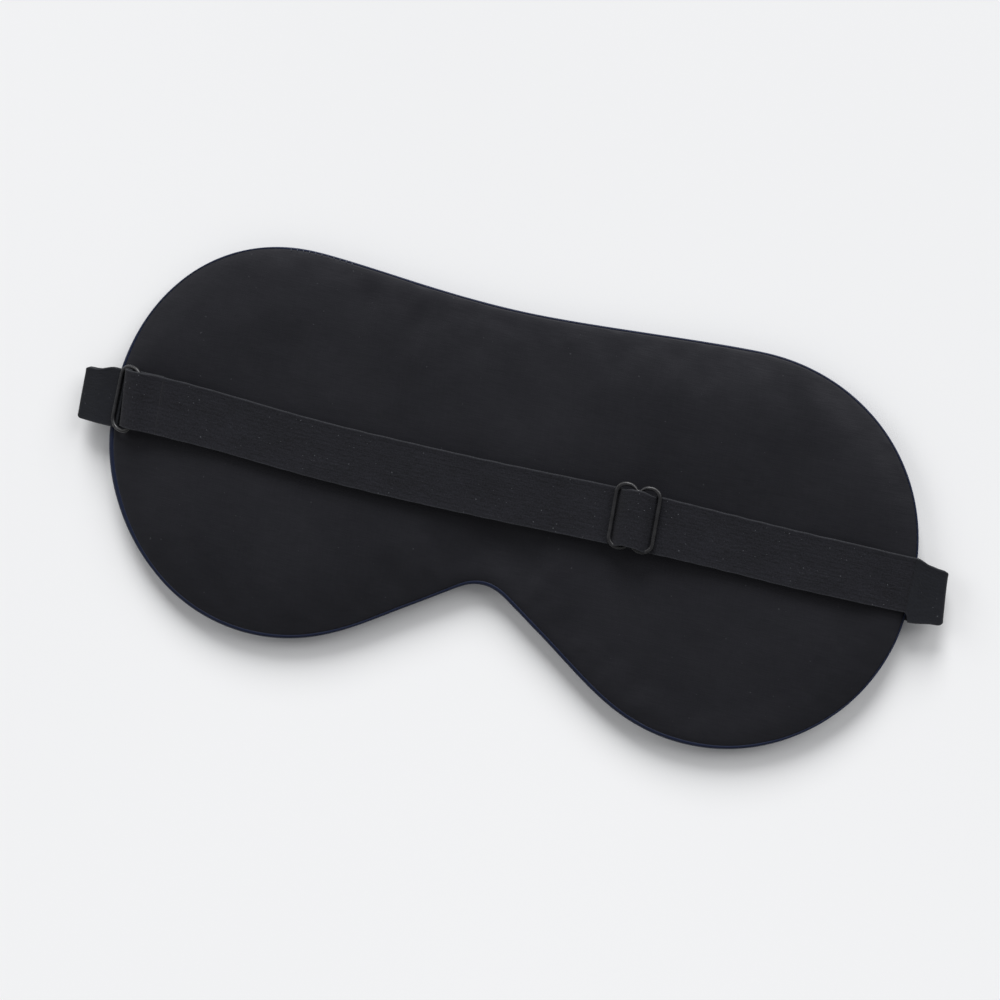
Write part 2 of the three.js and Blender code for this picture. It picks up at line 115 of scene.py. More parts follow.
def smooth_object(name, mesh):
    """An object of the scene with this mesh, smoothly shaded."""
    mesh.polygons.foreach_set("use_smooth", [True] * len(mesh.polygons))
    made = bpy.data.objects.new(name, mesh)
    SCENE.collection.objects.link(made)
    return made


def new_object(name, points, faces):
    """A mesh object from points in millimetres."""
    mesh = bpy.data.meshes.new(name)
    mesh.from_pydata([tuple(float(v) * MM for v in p) for p in points], [], [list(f) for f in faces])
    mesh.validate()
    mesh.update()
    return smooth_object(name, mesh)


def evaluated_mesh(source):
    """A new mesh of the object as its modifiers or its curve settings make it."""
    depsgraph = bpy.context.evaluated_depsgraph_get()
    return bpy.data.meshes.new_from_object(source.evaluated_get(depsgraph))


def finish_with(piece, material):
    """Gives a piece this material and no other."""
    piece.data.materials.clear()
    piece.data.materials.append(material)


def on_mask(piece, node, material):
    """Puts a piece on the mask's body, in the place of a CAD node."""
    finish_with(piece, material)
    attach(piece, "mask")
    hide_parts(node)
    return piece


def apply_modifiers(piece):
    """Replaces the object's mesh by the one that its modifiers make."""
    mesh = evaluated_mesh(piece)
    piece.modifiers.clear()
    piece.data = mesh


def ring_walls(count, first, last):
    """Quads between each ring and the next, from ring first to ring last, with count points a ring."""
    faces = []
    for ring in range(first, last):
        for i in range(count):
            a, b = ring * count + i, ring * count + (i + 1) % count
            faces.append((a, b, b + count, a + count))
    return faces


def placed_fill(fill, count, ring_start, grid_start):
    """The faces of fill_inside, with its ring and its grid numbered from where they are in a mesh."""
    return [tuple(v + ring_start if v < count else v - count + grid_start for v in face) for face in fill]


# how many sine waves make one line of noise
WAVES = 4


def wave_noise(positions, length, seed):
    """Smooth repeatable noise from -1 to 1 along a line, with bumps about length long."""
    rng = np.random.default_rng(seed)
    total = np.zeros(len(positions))
    for _ in range(WAVES):
        scale = length * rng.uniform(0.7, 1.6)
        total += np.sin(positions * 2 * np.pi / scale + rng.uniform(0, 2 * np.pi))
    return total / WAVES


def smoothstep(value, start, end):
    t = np.clip((np.asarray(value, float) - start) / (end - start), 0, 1)
    return t * t * (3 - 2 * t)


# (x, middle line, half width) of the strap as it lies, from the ring to its sewn end
STRAP_LINE = np.array(
    [
        (-106.0, 4.20, 7.60), (-93.0, 4.05, 7.85), (-80.0, 3.85, 7.65), (-67.0, 3.25, 7.58),
        (-54.0, 2.60, 7.56), (-41.0, 2.28, 7.58), (-24.0, 2.30, 7.58), (-8.0, 2.50, 7.50),
        (4.0, 2.68, 7.48), (12.0, 2.92, 7.48), (30.0, 3.45, 7.45), (44.0, 3.52, 7.40),
        (60.0, 3.25, 7.22), (80.0, 2.95, 7.25), (95.0, 3.20, 7.17), (102.0, 3.05, 7.10),
        (109.0, 2.80, 7.00),
    ]
)


def along_strap(x, column):
    """A smoothed reading of the strap's table."""
    x = np.asarray(x, float)
    shifts = (-6, -3, 0, 3, 6)
    readings = [np.interp(x + shift, STRAP_LINE[:, 0], STRAP_LINE[:, column]) for shift in shifts]
    return sum(readings) / len(shifts)


def strap_y(x):
    return along_strap(x, 1)


def strap_half(x):
    return along_strap(x, 2)


# ---------- outline of the padded body ----------


def bezier(corners, count):
    """Points of the Bezier curve with these control points."""
    corners = np.array(corners, float)
    degree = len(corners) - 1
    t = np.linspace(0, 1, count)[:, None]
    weights = [math.comb(degree, k) * (1 - t) ** (degree - k) * t**k for k in range(degree + 1)]
    return sum(w * c for w, c in zip(weights, corners))


def arc(centre, radius, start, end, count):
    """Points of a circle between two angles in degrees."""
    a = np.radians(np.linspace(start, end, count))
    return np.column_stack([centre[0] + radius * np.cos(a), centre[1] + radius * np.sin(a)])


def half_outline():
    """The right half, from the tip of the nose notch to the middle of the forehead edge."""
    lobe = (HALF_WIDTH - LOWER_LOBE_RADIUS, LOWER_LOBE_RADIUS - HALF_HEIGHT)
    brow = (HALF_WIDTH - UPPER_LOBE_RADIUS, HALF_HEIGHT - UPPER_LOBE_RADIUS)
    tip = NOTCH_TIP_Y
    dip = HALF_HEIGHT - TOP_DIP
    return np.vstack(
        [
            bezier([(0, tip), (3.2, tip), (6.5, tip - 2.1)], 40),
            bezier([(6.5, tip - 2.1), (20, tip - 11.3)], 40),
            bezier([(20, tip - 11.3), (32, tip - 19.7), (42, -HALF_HEIGHT), (lobe[0], -HALF_HEIGHT)], 120),
            arc(lobe, LOWER_LOBE_RADIUS, -90, 0, 160),
            arc(brow, UPPER_LOBE_RADIUS, 0, 90, 160),
            bezier([(brow[0], HALF_HEIGHT), (42, HALF_HEIGHT), (20, dip), (0, dip)], 120),
        ]
    )


# How far the sewn edge strays outside the pattern's outline, anticlockwise from the notch at even steps.
EDGE_STRAY = [
    *(0.67, 0.56, 0.34, 0.33, 0.96, 1.39, 1.11, 0.95, 1.06, 0.94, 0.94, 1.29),
    *(1.36, 0.98, 0.65, 0.61, 0.88, 1.23, 1.12, 0.69, 0.57, 0.84, 1.37, 1.90),
    *(1.69, 0.92, 0.95, 1.55, 1.37, 1.09, 1.69, 1.76, 0.59, -0.01, 0.53, 0.84),
]


def edge_stray(count):
    """The stray at each outline point, smoothed."""
    steps = len(EDGE_STRAY)
    at = np.arange(count) * steps / count
    level = np.interp(at, np.arange(steps + 1), [*EDGE_STRAY, EDGE_STRAY[0]])
    reach = count // steps
    return sum(np.roll(level, k) for k in range(-reach, reach + 1)) / (2 * reach + 1)


def outline(count):
    """The whole outline as evenly spaced points, anticlockwise from the notch, with inward normals."""
    right = half_outline()
    left = right[::-1] * [-1, 1]
    dense = np.vstack([right, left[1:]])
    step = np.r_[0, np.cumsum(np.linalg.norm(np.diff(dense, axis=0), axis=1))]
    keep = np.r_[True, np.diff(step) > 1e-6]
    dense, step = dense[keep], step[keep]
    at = np.linspace(0, step[-1], count, endpoint=False)
    points = np.column_stack([np.interp(at, step, dense[:, k]) for k in (0, 1)])
    along = np.roll(points, -1, axis=0) - np.roll(points, 1, axis=0)
    along /= np.linalg.norm(along, axis=1)[:, None]
    inward = np.column_stack([-along[:, 1], along[:, 0]])
    return points - inward * edge_stray(count)[:, None], inward, at


OUTLINE_COUNT = 288
OUTLINE, INWARD, ALONG = outline(OUTLINE_COUNT)


def inside_points(margin, pitch):
    """A staggered grid of points at least margin inside the outline."""
    grid = []
    for row, y in enumerate(np.arange(-HALF_HEIGHT, HALF_HEIGHT, pitch * 0.866)):
        offset = pitch / 2 * (row % 2)
        grid += [(x + offset, y) for x in np.arange(-HALF_WIDTH, HALF_WIDTH, pitch)]
    grid = np.array(grid)
    apart = grid[:, None] - OUTLINE
    distance = np.linalg.norm(apart, axis=2)
    nearest = distance.argmin(1)
    rows = np.arange(len(grid))
    inward = (apart[rows, nearest] * INWARD[nearest]).sum(1) > 0
    return grid[inward & (distance[rows, nearest] > margin)]


def distance_inside(points):
    """How far each point is from the outline."""
    parts = np.array_split(points, 12)
    return np.concatenate([np.linalg.norm(part[:, None] - OUTLINE, axis=2).min(1) for part in parts])


def seam_inset():
    """How far the navy front rolls onto the back at each outline point: most at the cheeks and left."""
    towards = -(INWARD @ np.array([-0.62, -0.78]))
    roll = 0.5 + 0.85 * smoothstep(towards, -0.2, 0.95)
    left = smoothstep(OUTLINE[:, 0], -94, -104) * smoothstep(OUTLINE[:, 1], 0, -8)
    return roll + 0.45 * left + 0.08 * wave_noise(ALONG, 23, 11)


# ---------- the padded body, by cloth simulation ----------

# (inset from the outline, height) from the middle of the front panel out to the rim and the roll
FRONT_PROFILE = [
    (16.0, 0.15), (12.5, 0.22), (9.6, 0.5), (7.2, 0.95), (5.1, 1.55), (3.3, 2.25), (1.8, 3.05),
    (0.8, 3.85), (0.2, 4.55), (0.0, SEAM_Z),
]
BACK_INSETS = [0.0, 0.7, 1.5, 2.5, 3.8, 5.4, 7.4, 9.8, 12.4, 15.0]


def back_height(inset):
    """Height of the domed back cover at a distance inside the outline."""
    start = SEAM_Z + 0.1
    share = (1 - np.exp(-np.maximum(inset, 0) / 10.5)) ** 0.82
    return start + (BACK_Z + 0.1 - start) * share


def body_rings():
    """Rings of 3-D points from the front's middle, round the rim and the seam, to the back's middle."""
    roll = seam_inset()
    pucker = wave_noise(ALONG, 7.5, 3) * (0.6 + 0.4 * wave_noise(ALONG, 40, 5))
    rings = []
    for inset, z in FRONT_PROFILE:
        fade = np.exp(-abs(inset) / 4)
        rings.append((OUTLINE + INWARD * inset, z + 0.10 * pucker * fade * min(z, 1)))
    rings.append((OUTLINE + INWARD * (0.5 * roll)[:, None], SEAM_Z + 0.42 + 0.12 * roll))
    seam_ring = len(rings)
    rings.append((OUTLINE + INWARD * roll[:, None], SEAM_Z + 0.18 + 0.3 * roll))
    for inset in BACK_INSETS[1:]:
        fade = np.exp(-inset / 4.5)
        full = roll * max(0, 1 - inset / 6) + inset
        rings.append((OUTLINE + INWARD * full[:, None], back_height(full) + 0.22 * pucker * fade))
    points = [np.column_stack([xy, np.broadcast_to(z, OUTLINE_COUNT)]) for xy, z in rings]
    return points, seam_ring


def fill_inside(ring, grid):
    """Triangles that fill a ring with a grid of points inside it: ring points first, then the grid."""
    flat = [Vector(p[:2]) for p in np.vstack([ring[:, :2], grid])]
    edges = [(i, (i + 1) % len(ring)) for i in range(len(ring))]
    result = delaunay_2d_cdt(flat, edges, [], 1, 1e-4)
    return [tuple(result[3][v][0] for v in face) for face in result[2]]


def body_mesh():
    """The closed body as (points, front faces, back faces, indices of the seam ring)."""
    rings, seam_ring = body_rings()
    n = OUTLINE_COUNT
    points = np.vstack(rings)
    grid = inside_points(EDGE_WIDTH + GRID_MARGIN, 3.0)
    front_fill = fill_inside(rings[0], grid)
    back_fill = fill_inside(rings[-1], grid)
    front_start = len(points)
    back_start = front_start + len(grid)
    front_z = np.full(len(grid), FRONT_PROFILE[0][1])
    back_z = back_height(distance_inside(grid))
    points = np.vstack([points, np.column_stack([grid, front_z]), np.column_stack([grid, back_z])])
    last = (len(rings) - 1) * n
    front = ring_walls(n, 0, seam_ring)
    front += [face[::-1] for face in placed_fill(front_fill, n, 0, front_start)]
    back = ring_walls(n, seam_ring, len(rings) - 1)
    back += placed_fill(back_fill, n, last, back_start)
    return points, front, back, np.arange(seam_ring * n, (seam_ring + 1) * n)


# the cloth simulation's frames and pressure, and the most that it moves a point
CLOTH_FRAMES = 20
CLOTH_PRESSURE = 4.0
CLOTH_REACH = 0.7


def simulate(points, faces, pinned, inset):
    """Inflates the closed body as cloth held at its seam, and returns the moved points."""
    cloth = new_object("cloth_sim", points, faces)
    group = cloth.vertex_groups.new(name="seam")
    group.add([int(i) for i in pinned], 1.0, "REPLACE")
    modifier = cloth.modifiers.new("Cloth", "CLOTH")
    settings = modifier.settings
    settings.quality = 6
    settings.mass = 0.2
    settings.tension_stiffness = 25
    settings.compression_stiffness = 25
    settings.shear_stiffness = 12
    settings.bending_stiffness = 1.5
    settings.use_pressure = True
    settings.uniform_pressure_force = CLOTH_PRESSURE
    settings.shrink_min = -0.012
    settings.vertex_group_mass = "seam"
    settings.effector_weights.gravity = 0
    modifier.collision_settings.use_collision = False
    modifier.point_cache.frame_start = 1
    modifier.point_cache.frame_end = CLOTH_FRAMES
    for frame_number in range(1, CLOTH_FRAMES + 1):
        SCENE.frame_set(frame_number)
    mesh = evaluated_mesh(cloth)
    moved = np.empty(len(mesh.vertices) * 3)
    mesh.vertices.foreach_get("co", moved)
    moved = moved.reshape(-1, 3) / MM
    SCENE.frame_set(1)
    bpy.data.objects.remove(cloth)
    shift = moved - points
    size = np.linalg.norm(shift, axis=1)
    share = CLOTH_REACH * np.tanh(size / CLOTH_REACH) / np.maximum(size, 1e-9)
    return points + shift * (share * smoothstep(inset, 0.4, 9))[:, None]


# where the valley along the strap is deeper, as (x, reach), and the most that the relief goes down
DEEPER_VALLEY = [(38, 20), (92, 16), (-96, 13)]
DEEPEST = 2.2


def relief(x, y):
    """How far the back's surface lies above or below a plain dome, in millimetres.

    There is a valley along the strap, steeper on its forehead side, and the nose bridge is hollow.
    The crown falls a little towards the forehead edge, and the right lobe towards the nose edge.
    """
    across = y - strap_y(x)
    deeper = sum(np.exp(-(((x - place) / reach) ** 2)) for place, reach in DEEPER_VALLEY)
    width = np.where(across > 0, 11.5, 26.0)
    valley = -(0.5 + 1.4 * np.minimum(deeper, 1)) * np.exp(-((across / width) ** 2))
    dent = -0.55 * np.exp(-(((x - 45) / 8) ** 2) - ((y + 15) / 9) ** 2)
    bridge = -0.5 * np.exp(-(((x - 2) / 15) ** 2)) * (0.5 + 0.5 * smoothstep(y, 16, -16))
    folds = 0.16 * np.sin(x / 15 + 0.6 * np.sin(y / 13)) * np.sin(y / 12 + 1.3 + 0.5 * np.sin(x / 19))
    crown = -0.035 * np.maximum(across - 14, 0) * smoothstep(x, 35, 5)
    lobe = -0.055 * np.maximum(-across - 5, 0) * smoothstep(x, -25, 15)
    total = valley + dent + bridge + folds + crown + lobe
    return np.where(total < 0, -DEEPEST * np.tanh(-total / DEEPEST), total)


def settle(points, inset):
    """Flattens the crown under the strap, adds the relief, and keeps the body on what it lies on."""
    settled = points.copy()
    share = smoothstep(inset, 1, 14) * smoothstep(points[:, 2], SEAM_Z, SEAM_Z + 1.5)
    settled[:, 2] -= 0.9 * np.maximum(settled[:, 2] - BACK_Z - 0.2, 0)
    settled[:, 2] += share * (relief(points[:, 0], points[:, 1]) + 0.1)
    settled[:, 2] = np.maximum(settled[:, 2], 0.02)
    return settled


def cover(name, points, faces, node, material):
    """One satin panel of the cover, as a thin shell."""
    used = sorted({v for f in faces for v in f})
    place = {v: i for i, v in enumerate(used)}
    piece = new_object(name, points[used], [[place[v] for v in f] for f in faces])
    subdivide = piece.modifiers.new("Smooth", "SUBSURF")
    subdivide.levels = 1
    subdivide.render_levels = 1
    shell = piece.modifiers.new("Thickness", "SOLIDIFY")
    shell.thickness = COVER_THICKNESS * MM
    shell.offset = -1
    apply_modifiers(piece)
    return on_mask(piece, node, material)


def padding_layer(name, rim_inset, middle_z, edge_z, node, slot, material):
    """A closed inner layer that follows the outline. middle_z and edge_z are (bottom, top) heights."""
    bottom_z, top_z = middle_z
    edge_bottom, edge_top = edge_z
    steps = 6
    angles = np.linspace(0, np.pi / 2, steps + 1)
    rings = []
    for a in angles[::-1]:
        inset = rim_inset + (EDGE_WIDTH - rim_inset) * (1 - np.cos(a))
        rings.append((inset, edge_bottom + (bottom_z - edge_bottom) * np.sin(a)))
    for a in angles:
        inset = rim_inset + (EDGE_WIDTH - rim_inset) * (1 - np.cos(a))
        rings.append((inset, edge_top + (top_z - edge_top) * np.sin(a)))
    n = OUTLINE_COUNT
    points = np.vstack([np.column_stack([OUTLINE + INWARD * d, np.full(n, z)]) for d, z in rings])
    faces = ring_walls(n, 0, len(rings) - 1)
    grid = inside_points(EDGE_WIDTH + GRID_MARGIN, 4.0)
    fill = fill_inside(points[:n], grid)
    below = len(points)
    above = below + len(grid)
    rough = 0.12 * wave_noise(grid[:, 0] + 0.7 * grid[:, 1], 19, 21)
    points = np.vstack(
        [
            points,
            np.column_stack([grid, np.full(len(grid), bottom_z)]),
            np.column_stack([grid, top_z + rough]),
        ]
    )
    last = (len(rings) - 1) * n
    faces += [face[::-1] for face in placed_fill(fill, n, 0, below)]
    faces += placed_fill(fill, n, last, above)
    return on_mask(new_object(name, points, faces), node, material)


# ---------- elastic ----------


def smooth_path(corners, pitch=0.8):
    """Evenly spaced points of a Catmull-Rom curve through (x, z) corners."""
    corners = np.array(corners, float)
    padded = np.vstack([2 * corners[0] - corners[1], corners, 2 * corners[-1] - corners[-2]])
    pieces = []
    for i in range(1, len(padded) - 2):
        p0, p1, p2, p3 = padded[i - 1 : i + 3]
        t = np.linspace(0, 1, 24, endpoint=False)[:, None]
        pieces.append(
            0.5
            * (
                2 * p1
                + (p2 - p0) * t
                + (2 * p0 - 5 * p1 + 4 * p2 - p3) * t**2
                + (3 * p1 - p0 - 3 * p2 + p3) * t**3
            )
        )
    dense = np.vstack([*pieces, corners[-1:]])
    step = np.r_[0, np.cumsum(np.linalg.norm(np.diff(dense, axis=0), axis=1))]
    at = np.linspace(0, step[-1], max(4, round(step[-1] / pitch) + 1))
    return np.column_stack([np.interp(at, step, dense[:, k]) for k in (0, 1)])


def band_section(thickness):
    """The closed section of elastic as (share of half width, offset in mm, height in mm)."""
    r = thickness / 2
    share = np.sin(np.linspace(-np.pi / 2, np.pi / 2, 22))
    edge = smoothstep(np.abs(share), 0.86, 0.97)
    lip = 0.05 * edge - 0.03 * (1 - share**2)
    top = [(s, 0.0, r + h) for s, h in zip(share, lip)]
    right = [(1.0, 0.35 * r * math.sin(a), (r + 0.09) * math.cos(a)) for a in (0.8, 1.57, 2.3)]
    bottom = [(s, 0.0, -r - h) for s, h in zip(share[::-1], lip[::-1])]
    left = [(-1.0, -0.35 * r * math.sin(a), -(r + 0.09) * math.cos(a)) for a in (0.8, 1.57, 2.3)]
    return np.array(top + right + bottom + left)


def round_tip(path, half):
    """Half widths that round the corners of a folded end, where the path is farthest from the middle."""
    reach = np.abs(path[:, 0])
    depth = np.clip(1 - (reach.max() - reach) / TIP_RADIUS, 0, 1)
    return half - TIP_RADIUS * (1 - np.sqrt(1 - 0.96 * depth**2))


def band(name, path, half_width, centre_y, skew=0.0, *, seed, wave=0.12, thickness=ELASTIC * 0.92):
    """A length of elastic along (x, z) points. half_width, centre_y and skew are numbers or arrays.

    skew moves the edges along X, and wave is how far the elastic ripples in and out.
    """
    count = len(path)
    half_width, centre_y, skew = (np.broadcast_to(v, count) for v in (half_width, centre_y, skew))
    along = np.gradient(path, axis=0)
    along /= np.linalg.norm(along, axis=1)[:, None]
    normal = np.column_stack([-along[:, 1], along[:, 0]])
    length = np.r_[0, np.cumsum(np.linalg.norm(np.diff(path, axis=0), axis=1))]
    section = band_section(thickness)
    m = len(section)
    from_ends = smoothstep(np.minimum(length, length[-1] - length), 0, 4)
    edge_wave = 0.07 * wave_noise(length, 6, seed) * from_ends
    points, uvs = [], []
    for i in range(count):
        y = section[:, 0] * (half_width[i] + edge_wave[i]) + section[:, 1]
        ripple = wave * np.sin(length[i] * 0.35 + seed + y * 0.25) * 0.3 * from_ends[i]
        offset = section[:, 2] + ripple
        x = path[i, 0] + normal[i, 0] * offset + skew[i] * y
        z = path[i, 1] + normal[i, 1] * offset
        points.append(np.column_stack([x, centre_y[i] + y, z]))
        uvs.append(np.column_stack([np.full(m, length[i]), section[:, 0] * STRAP_HALF_WIDTH]))
    points = np.vstack(points)
    uvs = np.vstack(uvs) * MM
    faces = ring_walls(m, 0, count - 1)
    faces.append(tuple(range(m))[::-1])
    faces.append(tuple(range((count - 1) * m, count * m)))
    piece = new_object(name, points, faces)
    for cap in (-1, -2):
        piece.data.polygons[cap].use_smooth = False
    layer = piece.data.uv_layers.new(name="UVMap")
    loops = np.empty(len(piece.data.loops), int)
    piece.data.loops.foreach_get("vertex_index", loops)
    layer.data.foreach_set("uv", uvs[loops].ravel())
    return piece


# ---------- wire ----------


def filled_wire(name, outlines, thickness):
    """A flat frame with round edges from an outer outline and its holes, in millimetres."""
    curve = bpy.data.curves.new(name, "CURVE")
    curve.dimensions = "2D"
    curve.fill_mode = "BOTH"
    for outline_points in outlines:
        spline = curve.splines.new("POLY")
        spline.points.add(len(outline_points) - 1)
        for target, (x, y) in zip(spline.points, outline_points):
            target.co = (x * MM, y * MM, 0, 1)
        spline.use_cyclic_u = True
    bevel = thickness * 0.86
    curve.bevel_depth = bevel * MM
    curve.bevel_resolution = 4
    curve.extrude = (thickness - bevel) * MM
    curve.offset = -bevel * MM
    holder = bpy.data.objects.new(name + "_curve", curve)
    SCENE.collection.objects.link(holder)
    mesh = evaluated_mesh(holder)
    bpy.data.objects.remove(holder)
    mesh.name = name
    made = smooth_object(name, mesh)
    weld = made.modifiers.new("Weld", "WELD")
    weld.merge_threshold = 0.00001
    normals = made.modifiers.new("WeightedNormal", "WEIGHTED_NORMAL")
    normals.mode = "FACE_AREA_WITH_ANGLE"
    apply_modifiers(made)
    return made


def loop_outline(centre_x, half_x, half_y, corner):
    """A rounded rectangle, anticlockwise."""
    x, y = half_x - corner, half_y - corner
    centres = [(centre_x + x, y), (centre_x - x, y), (centre_x - x, -y), (centre_x + x, -y)]
    return np.vstack([arc(centre, corner, 90 * k, 90 * k + 90, 14) for k, centre in enumerate(centres)])


def slider_outline(spacing, half_y, corner):
    """Two round-topped loops side by side, with a notch between them."""
    outer_x = spacing + WIRE - corner
    inner_x = outer_x - 0.5
    y = half_y - corner
    meet = math.degrees(math.acos((0.25 - inner_x) / corner))
    right = np.vstack(
        [
            arc((inner_x, -y), corner, -meet, -90, 12),
            arc((outer_x, -y), corner, -90, 0, 14),
            arc((outer_x, y), corner, 0, 90, 14),
            arc((inner_x, y), corner, 90, meet, 12),
        ]
    )
    return np.vstack([right, -right])


# ---------- materials ----------


class Nodes:
    """A short way to build a node tree for one material."""

    def __init__(self, name):
        self.material = bpy.data.materials.new(name)
        self.material.use_nodes = True
        self.tree = self.material.node_tree
        self.tree.nodes.clear()
        output = self.tree.nodes.new("ShaderNodeOutputMaterial")
        self.shader = self.tree.nodes.new("ShaderNodeBsdfPrincipled")
        self.link(self.shader.outputs[0], output.inputs["Surface"])

    def link(self, source, target):
        self.tree.links.new(source, target)

    def add(self, kind, **values):
        node = self.tree.nodes.new("ShaderNode" + kind)
        for key, value in values.items():
            if hasattr(node, key):
                setattr(node, key, value)
            else:
                node.inputs[key.replace("_", " ")].default_value = value
        return node

    def math(self, operation, a, b=0.0):
        node = self.tree.nodes.new("ShaderNodeMath")
        node.operation = operation
        for socket, value in zip(node.inputs, (a, b)):
            if isinstance(value, (int, float)):
                socket.default_value = value
            else:
                self.link(value, socket)
        return node.outputs[0]

    def times(self, a, b):
        return self.math("MULTIPLY", a, b)

    def plus(self, a, b):
        return self.math("ADD", a, b)

    def noise(self, vector, scale, detail, roughness):
        """Noise with one scale, or with one for each axis."""
        if isinstance(scale, tuple):
            vector, scale = self.stretched(vector, scale), 1.0
        node = self.add("TexNoise", Scale=scale, Detail=detail, Roughness=roughness)
        self.link(vector, node.inputs["Vector"])
        return node.outputs["Fac"]

    def stretched(self, vector, scale):
        node = self.add("Mapping")
        node.inputs["Scale"].default_value = scale
        self.link(vector, node.inputs["Vector"])
        return node.outputs["Vector"]

    def colours(self, factor, stops):
        node = self.tree.nodes.new("ShaderNodeValToRGB")
        ramp = node.color_ramp
        while len(ramp.elements) < len(stops):
            ramp.elements.new(0.5)
        for element, (position, colour) in zip(ramp.elements, stops):
            element.position = position
            element.color = (*colour, 1)
        self.link(factor, node.inputs["Fac"])
        return node.outputs["Color"]

    def bump(self, height, strength, distance, normal=None):
        node = self.add("Bump")
        node.inputs["Strength"].default_value = strength
        node.inputs["Distance"].default_value = distance
        self.link(height, node.inputs["Height"])
        if normal is not None:
            self.link(normal, node.inputs["Normal"])
        return node.outputs["Normal"]

    def mixed(self, factor, base, colour):
        mix = self.add("Mix", data_type="RGBA")
        self.link(factor, mix.inputs["Factor"])
        self.link(base, mix.inputs[6])
        mix.inputs[7].default_value = (*colour, 1)
        return mix.outputs[2]

    def feed(self, name, source):
        self.link(source, self.shader.inputs[name])

    def set(self, **values):
        for key, value in values.items():
            self.shader.inputs[key.replace("_", " ")].default_value = value


def satin(name, dark, light, sheen):
    """Satin weave: floating threads that run one way, faint slubs, lint and soft colour changes."""
    nodes = Nodes(name)
    place = nodes.add("TexCoord").outputs["Object"]
    patches = nodes.noise(place, 38, 3, 0.6)
    threads = nodes.noise(place, (260, 3200, 260), 2, 0.5)
    cross = nodes.noise(place, (2400, 300, 300), 2, 0.5)
    lint = nodes.noise(place, 950, 1, 0.4)
    weave = nodes.plus(nodes.times(threads, 0.6), nodes.times(cross, 0.4))
    tone = nodes.plus(nodes.times(patches, 0.55), nodes.times(weave, 0.45))
    base = nodes.colours(tone, [(0.3, dark), (0.72, light)])
    specks = nodes.math("GREATER_THAN", lint, 0.8)
    nodes.feed("Base Color", nodes.mixed(nodes.times(specks, 0.12), base, (0.16, 0.165, 0.18)))
    nodes.feed("Roughness", nodes.plus(0.44, nodes.times(patches, 0.14)))
    fine = nodes.bump(weave, 0.32, 0.00012)
    creases = nodes.noise(place, (60, 95, 60), 3, 0.55)
    nodes.feed("Normal", nodes.bump(creases, 0.25, 0.0011, fine))
    nodes.set(Sheen_Weight=sheen, Sheen_Roughness=0.45, Specular_IOR_Level=0.17)
    nodes.shader.inputs["Sheen Tint"].default_value = (0.75, 0.8, 1.0, 1)
    nodes.shader.inputs["Specular Tint"].default_value = (0.93, 0.93, 1.0, 1)
    return nodes.material


# metres from one rib of the elastic to the next
RIB_PITCH = 0.00118


def elastic_material(name, rib_strength, dark, light):
    """Woven elastic: uneven ribs along its length, crossed by fine weft, with lint and a painted highlight
    along both edges.
    """
    nodes = Nodes(name)
    uv = nodes.add("UVMap").outputs["UV"]
    parts = nodes.add("SeparateXYZ")
    nodes.link(uv, parts.inputs[0])
    v = parts.outputs["Y"]
    wander = nodes.noise(uv, (160, 700, 1), 2, 0.5)
    rib_place = nodes.plus(nodes.math("DIVIDE", v, RIB_PITCH), nodes.times(wander, 0.7))
    rib = nodes.math("SINE", nodes.times(rib_place, 2 * math.pi))
    fine_rib = nodes.math("SINE", nodes.times(v, 4 * math.pi / RIB_PITCH))
    weft = nodes.noise(uv, (2600, 1500, 1), 2, 0.7)
    dashes = nodes.noise(uv, (420, 1900, 1), 3, 0.65)
    ribs = nodes.plus(nodes.times(rib, 0.09), nodes.times(fine_rib, 0.06))
    knit = nodes.plus(nodes.times(weft, 1.9), nodes.times(dashes, 1.3))
    height = nodes.plus(nodes.times(ribs, rib_strength), knit)
    broad = nodes.noise(uv, (70, 160, 1), 3, 0.6)
    tone = nodes.plus(nodes.times(height, 0.3), nodes.times(broad, 0.25))
    base = nodes.colours(tone, [(0.36, dark), (0.74, light)])
    lint = nodes.noise(uv, (1500, 1500, 1), 1, 0.3)
    specks = nodes.math("GREATER_THAN", lint, 0.775)
    # painted highlight: a thin, broken, lighter line along both edges of the band, where they catch the
    # light, mixed in with the lint specks
    side = nodes.math("ABSOLUTE", v)
    edge_highlight_breaks = nodes.noise(uv, (1400, 10, 1), 2, 0.6)
    edge_highlight_band = nodes.math("GREATER_THAN", side, STRAP_HALF_WIDTH * MM * 0.972)
    edge = nodes.times(nodes.times(edge_highlight_band, edge_highlight_breaks), 0.1)
    lint_and_edge_highlight = nodes.plus(nodes.times(specks, 0.3), edge)
    nodes.feed("Base Color", nodes.mixed(lint_and_edge_highlight, base, (0.2, 0.21, 0.23)))
    nodes.feed("Normal", nodes.bump(height, 0.5, 0.00012))
    nodes.set(Roughness=0.75, Sheen_Weight=0.04, Sheen_Roughness=0.5, Specular_IOR_Level=0.2)
    return nodes.material


def coated_wire():
    """Black nylon-coated wire: half glossy, slightly uneven, worn a little lighter in places."""
    nodes = Nodes("black_coated_wire")
    place = nodes.add("TexCoord").outputs["Object"]
    wear = nodes.noise(place, 600, 4, 0.65)
    base = nodes.colours(wear, [(0.45, (0.006, 0.006, 0.0075)), (0.8, (0.017, 0.017, 0.0195))])
    nodes.feed("Base Color", base)
    nodes.feed("Roughness", nodes.plus(0.32, nodes.times(wear, 0.2)))
    dimples = nodes.noise(place, 1500, 2, 0.5)
    nodes.feed("Normal", nodes.bump(dimples, 0.12, 0.0001))
    nodes.set(Coat_Weight=0.2, Coat_Roughness=0.4, Specular_IOR_Level=0.5)
    return nodes.material


